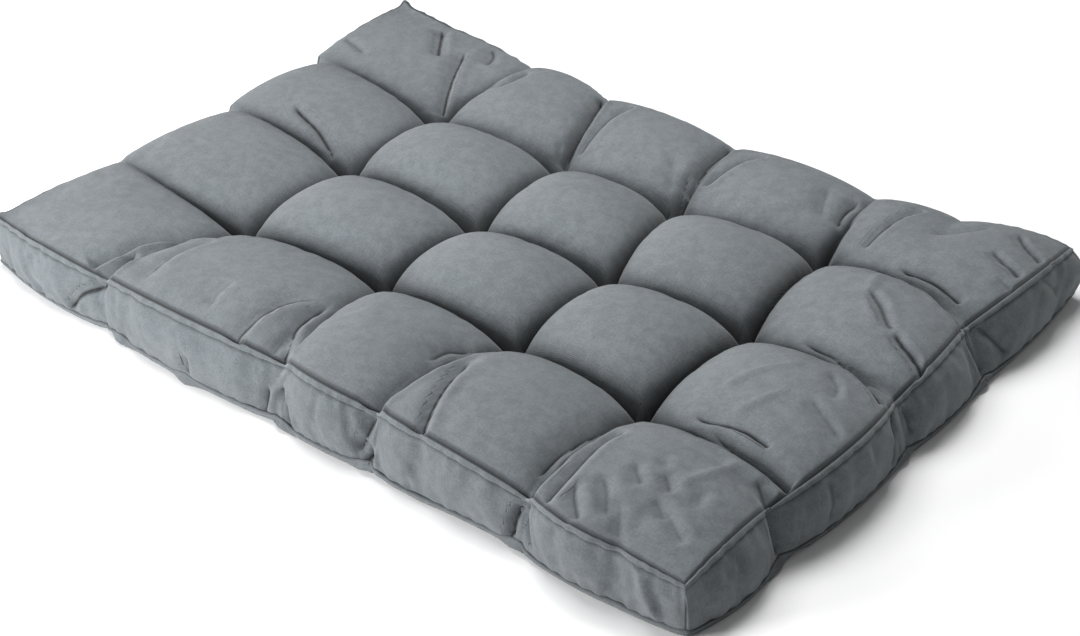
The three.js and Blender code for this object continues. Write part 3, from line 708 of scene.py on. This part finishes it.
def lay_folds(bag):
    """Folds the top panel down and the walls inwards, and gives the panels the walls' new edges.
    Where the cloth folds in on itself a dark line is painted as shade, and it is also a groove in
    the bump: its offset and strength are kept."""
    at = tuple(bag["ring"].T)
    drop, lines = folded(bag["top"][..., :2], FOLDS["top"])
    bag["top"][..., 2] -= drop
    beside, hold = crease_lines(bag)
    creases = beside, hold * (1 - np.exp(-(from_seam(bag) / RIM_FADE) ** 2))
    bag["top_offset"], bag["top_line"] = stronger(creases, lines)
    wall = bag["wall"]
    wall[0] = bag["top"][at]
    down = np.broadcast_to(-WALL_HEIGHT * bag["w"][:, None], wall.shape[:2])
    bag["wall_offset"] = -down - STITCH_PLACE
    bag["wall_line"] = close_by(bag["wall_offset"], STITCH_LINE)
    hold = (np.minimum(1, bag["w"] / 0.1) * (1 - 0.7 * (bag["w"] > 0.93)))[:, None]
    last_u, last_v = len(bag["u"]) - 1, len(bag["v"]) - 1
    for side, on, along, axis, way in (
            ("front", bag["ring"][:, 1] == 0, wall[0, :, 0], 1, -1),
            ("right", bag["ring"][:, 0] == last_u, wall[0, :, 1], 0, 1),
            ("back", bag["ring"][:, 1] == last_v, wall[0, :, 0], 1, 1),
            ("left", bag["ring"][:, 0] == 0, wall[0, :, 1], 0, -1)):
        places = np.stack([np.broadcast_to(along, down.shape), down], -1)[:, on]
        drop, lines = folded(places, FOLDS[side])
        wall[:, on, axis] -= way * drop * hold
        stitched = bag["wall_offset"][:, on], bag["wall_line"][:, on]
        bag["wall_offset"][:, on], bag["wall_line"][:, on] = stronger(stitched, lines)
    bag["top"][at], bag["low"][at] = wall[0], wall[-1]


def painted_shade(bag):
    """How much painted shade each point takes: fully in the seams and at the tufts,
    and less along the creases between them."""
    seam = np.exp(-((from_seam(bag) - SEAM_GROOVE_PLACE) / SEAM_LINE) ** 2)
    crease = 0
    for offset, along in by_creases(bag):
        pit = np.exp(-(along / PIT_LENGTH) ** 2)
        shaded = (SHADED_CREASE + (1 - SHADED_CREASE) * pit) * np.exp(
            -(np.abs(offset) / (SHADED_WIDTH + SHADED_PIT * pit)) ** 1.2)
        crease = np.maximum(crease, shaded)
    on_top = np.maximum(seam, crease * (1 - np.exp(-from_seam(bag) / GROOVE_FADE)))
    above_seam = WALL_HEIGHT * (1 - bag["w"][:, None])
    line = np.exp(-((above_seam - SEAM_GROOVE_PLACE) / SEAM_LINE) ** 2)
    on_wall = np.broadcast_to(line, bag["wall"].shape[:2])
    return np.concatenate([on_top.ravel(), np.zeros(on_top.size), on_wall[1:-1].ravel()])


# The cloths are laid out finely and puckered, then folded, and keep the marks that the cotton's
# shader reads, among them the painted shade of the seams, tufts, creases and folds' lines. The top
# is crumpled least at its left end, and fully towards its right one.
CRUMPLED_FROM, CRUMPLED_OVER, CRUMPLED_LEAST, WALL_CRUMPLED = 320, 200, 0.35, 0.5
FINE_STEPS = (60, 50, 20)
bag = cushion_grids(*FINE_STEPS)
top_moves, wall_moves = puckers(bag)
bag["top"] += top_moves
bag["wall"] += wall_moves
lay_folds(bag)
low_height = np.maximum(0.0, bag["low"][..., 2])
bag["top"][..., 2] = np.maximum(low_height + LEAST_THICKNESS, bag["top"][..., 2])
cover_points, cover_faces, cover_kept = closed_bag(bag)
cushion = new_mesh("cushion_cover", cover_points, cover_faces)
no_line = np.full(bag["low"][..., 0].size, FAR_OFF)
crumpled = np.clip((bag["top"][..., 0] - CRUMPLED_FROM) / CRUMPLED_OVER, CRUMPLED_LEAST, 1)
for name, values in (
        ("painted_shade", painted_shade(bag)),
        ("line_offset", np.concatenate([bag["top_offset"].ravel(), no_line,
                                        bag["wall_offset"][1:-1].ravel()])),
        ("line_strength", np.concatenate([bag["top_line"].ravel(), 0 * no_line,
                                          bag["wall_line"][1:-1].ravel()])),
        ("crumpled", np.concatenate([crumpled.ravel(), 0 * no_line,
                                     WALL_CRUMPLED + 0 * bag["wall_line"][1:-1].ravel()]))):
    kept_values = cushion.data.attributes.new(name, "FLOAT", "POINT")
    kept_values.data.foreach_set("value", values[cover_kept].astype(np.float32))


class Value:
    """A number in a material. Sums, products and powers of it add Math nodes."""

    def __init__(self, tree, socket):
        self.tree, self.socket = tree, socket

    def maths(self, operation, *others):
        """A Math node of this value and the others."""
        return self.tree.node("ShaderNodeMath", {"operation": operation}, [self, *others])

    def __add__(self, other):
        return self.maths("ADD", other)

    def __mul__(self, other):
        return self.maths("MULTIPLY", other)

    def __sub__(self, other):
        return self.maths("SUBTRACT", other)

    def __rsub__(self, other):
        return self.tree.node("ShaderNodeMath", {"operation": "SUBTRACT"}, [other, self])

    def __pow__(self, other):
        return self.maths("POWER", other)

    __radd__, __rmul__ = __add__, __mul__


class Finish:
    """A material of nodes, opened with its surface shader and its constants."""

    def __init__(self, name, **constants):
        self.material = bpy.data.materials.new(name)
        self.material.use_nodes = True
        self.nodes = self.material.node_tree.nodes
        self.links = self.material.node_tree.links
        self.surface = self.nodes["Principled BSDF"]
        for socket, value in constants.items():
            self.surface.inputs[socket.replace("_", " ")].default_value = value

    def put(self, socket, value):
        """Sets a socket to a number, a colour or another node's output."""
        if isinstance(value, Value):
            value = value.socket
        if isinstance(value, bpy.types.NodeSocket):
            self.links.new(value, socket)
        elif value is not None:
            socket.default_value = value

    def node(self, kind, settings, inputs, output=0):
        """Adds a node: its settings first, then its sockets, by number or by name."""
        made = self.nodes.new(kind)
        for name, value in settings.items():
            setattr(made, name, value)
        named = inputs.items() if isinstance(inputs, dict) else enumerate(inputs)
        for name, value in named:
            self.put(made.inputs[name], value)
        return Value(self, made.outputs[output])

    def blend(self, share, first, second):
        """A colour between two, by share."""
        return self.node("ShaderNodeMix", {"data_type": "RGBA"}, {0: share, 6: first, 7: second}, 2)

    def to(self, socket, value):
        """Sets one of the surface shader's own sockets."""
        self.put(self.surface.inputs[socket], value)


def slate_cotton(name, light, dark, weave_depth):
    """Matt slate cotton. The colour drifts between two slates in soft clouds, specks and streaks
    where threads took the dye unevenly, and painted shade darkens it in the seams, at the tufts,
    along the creases and along the folds' lines. The bump is a plain weave, threads over and under
    each other as the product of two waves, with slubs, over ridged noise for soft crumples and
    exp(-|offset| / LINE_SLOPE) for the folds' bottoms."""
    finish = Finish(name, Roughness=0.93, Specular_IOR_Level=0.25, Sheen_Weight=0.18,
                    Sheen_Roughness=0.6)
    place = finish.node("ShaderNodeTexCoord", {}, [], "Object")
    clouds, specks, blots = (
        finish.node("ShaderNodeTexNoise", {}, {"Vector": place, "Scale": scale, "Detail": detail})
        for scale, detail in ((9.0, 4.0), (420.0, 3.0), (70.0, 3.0)))
    cloth = finish.node("ShaderNodeUVMap", {"uv_map": "cloth"}, [])
    streaks = []
    for stretch in ((90.0, 900.0, 1.0), (900.0, 90.0, 1.0)):
        drawn_out = finish.node("ShaderNodeVectorMath", {"operation": "MULTIPLY"}, [cloth, stretch])
        streaks.append(finish.node("ShaderNodeTexNoise", {}, {
            "Vector": drawn_out, "Scale": 1.0, "Detail": 3.0}))
    threads = streaks[0] + streaks[1]
    share = 1.2 * clouds + 2.0 * blots + 2.2 * specks + 1.8 * threads - 4.0
    kept, offset, strength, crumpled = (
        finish.node("ShaderNodeAttribute", {"attribute_name": name}, [], 2)
        for name in ("painted_shade", "line_offset", "line_strength", "crumpled"))
    # Painted shade: the colour is darkened towards near black along the lines of folds and creases,
    # and in the seams, at the tufts and along the creases.
    near = (offset * offset * (-1 / LINE_WIDTH ** 2)).maths("EXPONENT")
    line = (strength * near * LINE_DARKNESS).maths("MINIMUM", 1.0)
    mottled_slate = finish.blend(share, light, dark)
    finish.to("Base Color", finish.blend(kept.maths("MAXIMUM", line), mottled_slate, PAINTED_SHADE_COLOUR))
    finish.to("Roughness", 0.86 + 0.12 * specks)
    warp, weft = (
        finish.node("ShaderNodeTexWave", {"bands_direction": way, "wave_profile": "SIN"},
                    {"Vector": cloth, "Scale": 220.0, "Distortion": 0.6, "Detail": 1.0})
        for way in "XY")
    weave = warp * weft + 0.6 * specks + 0.5 * blots + 0.9 * threads
    drawn_in = (offset.maths("ABSOLUTE") * (-1 / LINE_SLOPE)).maths("EXPONENT") * strength
    creased = finish.node("ShaderNodeTexNoise", {"noise_type": "RIDGED_MULTIFRACTAL"}, {
        "Vector": place, "Scale": 14.0, "Detail": 2.0, "Roughness": 0.5, "Distortion": 0.7})
    rough = finish.node("ShaderNodeBump", {}, {
        "Strength": 1.0, "Distance": 0.001,
        "Height": CRUMPLE_HEIGHT * crumpled * creased - LINE_DROP * drawn_in})
    finish.to("Normal", finish.node("ShaderNodeBump", {}, {
        "Strength": 0.5, "Distance": weave_depth, "Height": weave, "Normal": rough}))
    return finish.material


def lay_cloth(piece, places):
    """Gives the piece its cloth coordinates: the place of each corner on the cut cloth, metres."""
    layer = piece.data.uv_layers.new(name="cloth")
    corners = np.empty(len(piece.data.loops), int)
    piece.data.loops.foreach_get("vertex_index", corners)
    layer.data.foreach_set("uv", places[corners].astype(np.float32).ravel())


LINE_WIDTH, LINE_SLOPE, LINE_DROP, LINE_DARKNESS = 2.5, 3.5, 2.2, 1.4
CRUMPLE_HEIGHT = 1.3
# Near black, the painted shade in the seams, at the tufts, along the creases and along the folds'
# lines.
PAINTED_SHADE_COLOUR = (0.010, 0.012, 0.014, 1)
SLATE_LIGHT = (0.130, 0.146, 0.157, 1)
SLATE_DARK = (0.094, 0.107, 0.116, 1)
cotton = slate_cotton("slate_cotton", SLATE_LIGHT, SLATE_DARK, 0.0004)
WALL_CUT_APART = 5000
round_about = np.cumsum(np.linalg.norm(np.diff(bag["wall"][0], axis=0, append=bag["wall"][0][:1]),
                                       axis=1))
wall_places = np.stack(np.broadcast_arrays(round_about[None] + WALL_CUT_APART,
                                           WALL_HEIGHT * bag["w"][:, None]), -1)
lay_cloth(cushion, np.concatenate([bag["top"][..., :2].reshape(-1, 2),
                                   bag["low"][..., :2].reshape(-1, 2),
                                   wall_places[1:-1].reshape(-1, 2)])[cover_kept] / 1000)
cushion.data.materials.append(cotton)
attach(cushion, "root")
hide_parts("cushion")

# The welts are narrow flat ribs of the same cotton along both seams: the seam allowance, folded
# down over the wall and stitched through. A thin dark line shows where the panel meets it, from a
# groove in the cloth and from shade painted on the panel and the wall beside the seam.
WELT_WIDTH = 4.4
WELT_PROUD, WELT_INSET = 1.4, 1.2
WELT_STEPS = 8
LOW_WELT_WIDTH, LOW_WELT_REACH = 3.8, 2.4


def section_mesh(name, solid, points):
    """Makes a piece of sections carried round a seam, joined in a ring. Its faces point outwards
    where its sections run clockwise, seen along the seam."""
    sides, count = points.shape[:2]
    index = np.arange(sides * count).reshape(sides, count)
    quads = np.stack([index, np.roll(index, -1, 1), np.roll(np.roll(index, -1, 0), -1, 1),
                      np.roll(index, -1, 0)], -1).reshape(-1, 4)
    piece = new_mesh(name, points.reshape(-1, 3), quads.tolist())
    across = np.arange(sides)[:, None] * WELT_WIDTH / sides
    places = np.stack(np.broadcast_arrays(round_about, across), -1).reshape(-1, 2)
    lay_cloth(piece, places / 1000)
    piece.data.materials.append(cotton)
    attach(piece, "root")
    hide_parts(solid)


def around_ring(rows):
    """Unit steps along the ring of seam points at every row."""
    step = np.roll(rows, -1, 1) - np.roll(rows, 1, 1)
    return step / np.linalg.norm(step, axis=-1, keepdims=True)


def wall_strip(down):
    """Points of the wall and its outward normals at these distances down from the top seam."""
    w = np.asarray(down, float) / WALL_HEIGHT
    at = spread(bag["wall"], bag["w"], w, 0)
    below = spread(bag["wall"], bag["w"], w + 1.5 / WALL_HEIGHT, 0) - at
    normal = np.cross(around_ring(at), -below)
    return at, normal / np.linalg.norm(normal, axis=-1, keepdims=True)


# The top rib lies on the wall from the seam down, half an ellipse across.
t = np.linspace(0, np.pi, WELT_STEPS + 1)
strip, normal = wall_strip(WELT_WIDTH * (0.5 - 0.5 * np.cos(t)) + 0.2)
proud = (WELT_PROUD * np.sin(t) ** 0.7)[:, None, None]
section = np.concatenate([strip + normal * proud, (strip - WELT_INSET * normal)[::-1]])
section_mesh("welt_top_rib", "welt_top", section)

# The bottom rib stands out from the bottom seam, an ellipse across.
t = np.linspace(0, 2 * np.pi, 2 * WELT_STEPS, endpoint=False)[:, None, None]
strip, normal = wall_strip([WALL_HEIGHT - 3.0, WALL_HEIGHT - 0.01])
out = normal[0] * [1, 1, 0]
out /= np.linalg.norm(out, axis=-1, keepdims=True)
section = (strip[1] + out * (LOW_WELT_REACH * (np.cos(t) + 0.35))
           + np.array([0, 0, -1]) * LOW_WELT_WIDTH / 2 * np.sin(t))
section_mesh("welt_bottom_rib", "welt_bottom", section)

# The camera stands where the photograph was taken from, to the right of the cushion's front.
AZIMUTH, ELEVATION, ROLL = np.radians([43.6, 34.77, -3.66])
DISTANCE = 2.79
AIM_RIGHT, AIM_UP = 0.0288, -0.0477
FOCAL_IN_WIDTHS = 2077 / 1080
back = np.array([math.sin(AZIMUTH) * math.cos(ELEVATION),
                 -math.cos(AZIMUTH) * math.cos(ELEVATION), math.sin(ELEVATION)])
level = np.array([math.cos(AZIMUTH), math.sin(AZIMUTH), 0])
upright = np.cross(back, level)
right = math.cos(ROLL) * level + math.sin(ROLL) * upright
up = -math.sin(ROLL) * level + math.cos(ROLL) * upright
place = AIM_RIGHT * right + AIM_UP * up + DISTANCE * back - MIDDLE / 1000
lens = bpy.data.cameras.new("camera")
lens.sensor_width = 36
lens.sensor_fit = "HORIZONTAL"
lens.lens = 36 * FOCAL_IN_WIDTHS
camera = bpy.data.objects.new("camera", lens)
camera.matrix_world = Matrix(np.vstack([np.stack([right, up, back, place], 1),
                                        [0, 0, 0, 1]]).tolist())
bpy.context.scene.collection.objects.link(camera)
bpy.context.scene.camera = camera

# The floor is a plain pale sheet. Soft lamps hang close over the cushion's left half and high at
# its back, and one stands low in front of its left end, in a pale surround.
FLOOR_REACH, FLOOR_DROP = 12, 0.0005
LAMP_WIDTH, SURROUND_STRENGTH = 1.0, 0.2
floor_mesh = bpy.data.meshes.new("floor")
floor_mesh.from_pydata([(x * FLOOR_REACH, y * FLOOR_REACH, -FLOOR_DROP)
                        for x, y in ((-1, -1), (1, -1), (1, 1), (-1, 1))], [], [(0, 1, 2, 3)])
floor = bpy.data.objects.new("floor", floor_mesh)
bpy.context.scene.collection.objects.link(floor)
paper = Finish("pale_paper", Roughness=0.95)
paper.to("Base Color", (0.92, 0.92, 0.92, 1))
floor_mesh.materials.append(paper.material)


def lamp(name, place, power):
    """A square soft lamp at place, turned to the cushion."""
    data = bpy.data.lights.new(name, "AREA")
    data.energy = power
    data.size = LAMP_WIDTH
    made = bpy.data.objects.new(name, data)
    made.location = place
    made.rotation_euler = (Vector((0, 0, 0)) - Vector(place)).to_track_quat("-Z", "Y").to_euler()
    bpy.context.scene.collection.objects.link(made)


lamp("close_overhead", (-0.35, 0.0, 1.7), 24)
lamp("low_front", (-1.0, -2.15, 0.75), 74)
lamp("high_back", (-0.2, 0.9, 2.4), 35)
world = bpy.data.worlds.new("surround")
world.use_nodes = True
world.node_tree.nodes["Background"].inputs["Color"].default_value = (1, 1, 1, 1)
world.node_tree.nodes["Background"].inputs["Strength"].default_value = SURROUND_STRENGTH
bpy.context.scene.world = world
bpy.context.scene.view_settings.view_transform = "Standard"
